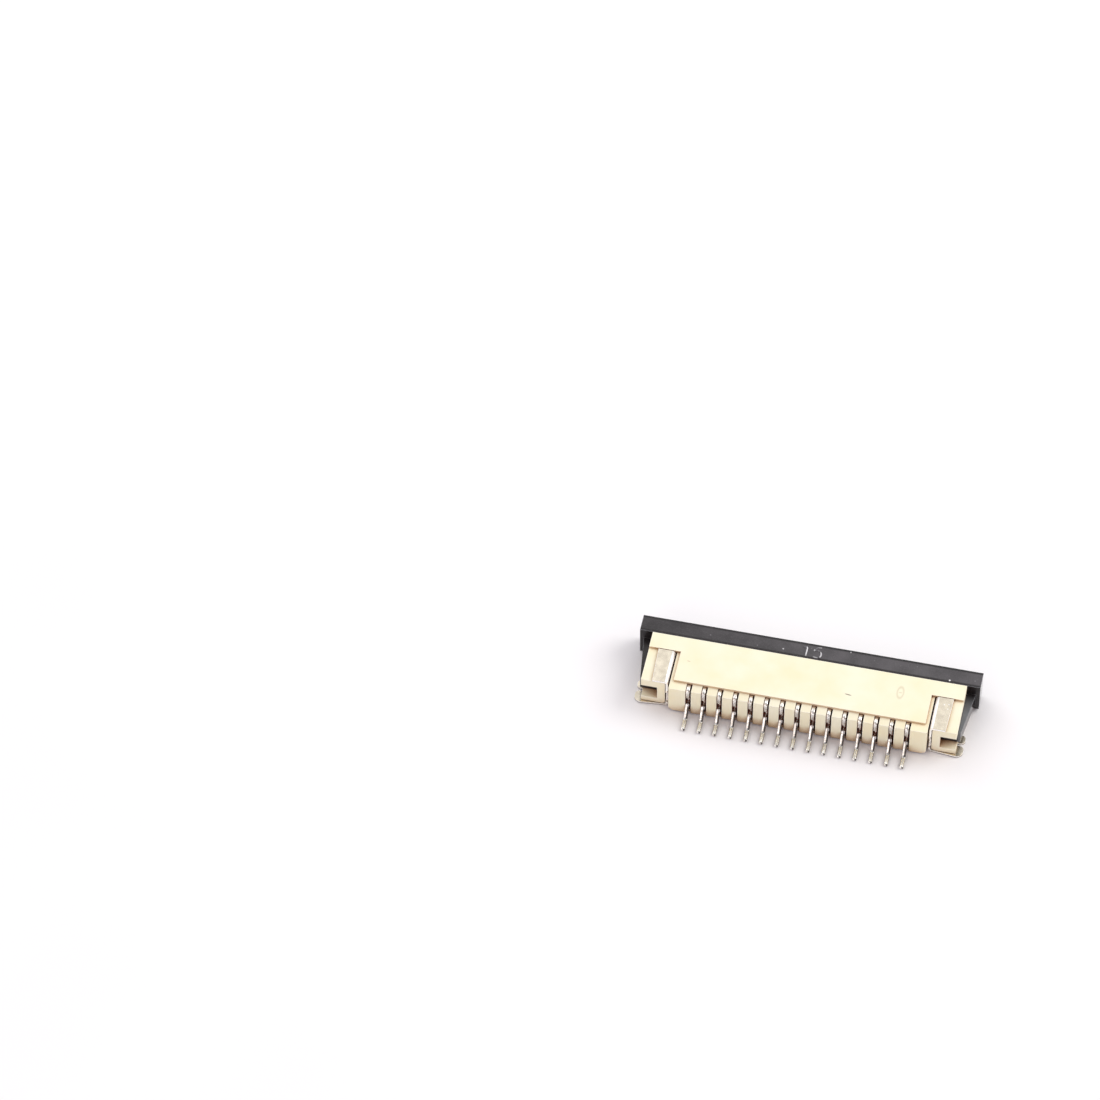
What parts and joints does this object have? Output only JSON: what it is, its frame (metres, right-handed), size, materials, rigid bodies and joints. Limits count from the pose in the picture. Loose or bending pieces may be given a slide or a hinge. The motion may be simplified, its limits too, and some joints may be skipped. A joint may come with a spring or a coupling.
{
  "type": "slide-lock fpc connector",
  "caption": "Right-angle surface-mount connector for a flat flexible cable, with bottom contacts and a slide lock.",
  "frame": {"origin": "on the board plane, at the middle of the row of solder feet, under the middle contact's foot", "axes": "+X along the contact row, to the right seen from the solder tails; +Y from the tails to the cable mouth; +Z away from the board"},
  "size_m": [0.022, 0.0067, 0.0025],
  "materials": {
    "housing": "cream moulded, satin",
    "slider": "black moulded, satin",
    "contacts": "bright tin plate",
    "solder_tabs": "satin tin plate"
  },
  "bodies": {
    "connector_body": {"housing": "housing", "contact_01": "contacts", "contact_02": "contacts", "contact_03": "contacts", "contact_04": "contacts", "contact_05": "contacts", "contact_06": "contacts", "contact_07": "contacts", "contact_08": "contacts", "contact_09": "contacts", "contact_10": "contacts", "contact_11": "contacts", "contact_12": "contacts", "contact_13": "contacts", "contact_14": "contacts", "contact_15": "contacts", "solder_tab_left": "solder_tabs", "solder_tab_right": "solder_tabs"},
    "slide_lock": {"slider": "slider"}
  },
  "joints": [
    {"name": "slide_lock_travel", "type": "slide", "parent": "connector_body", "child": "slide_lock", "axis": [0, 1, 0], "range_m": [0, 0.0012]}
  ]
}
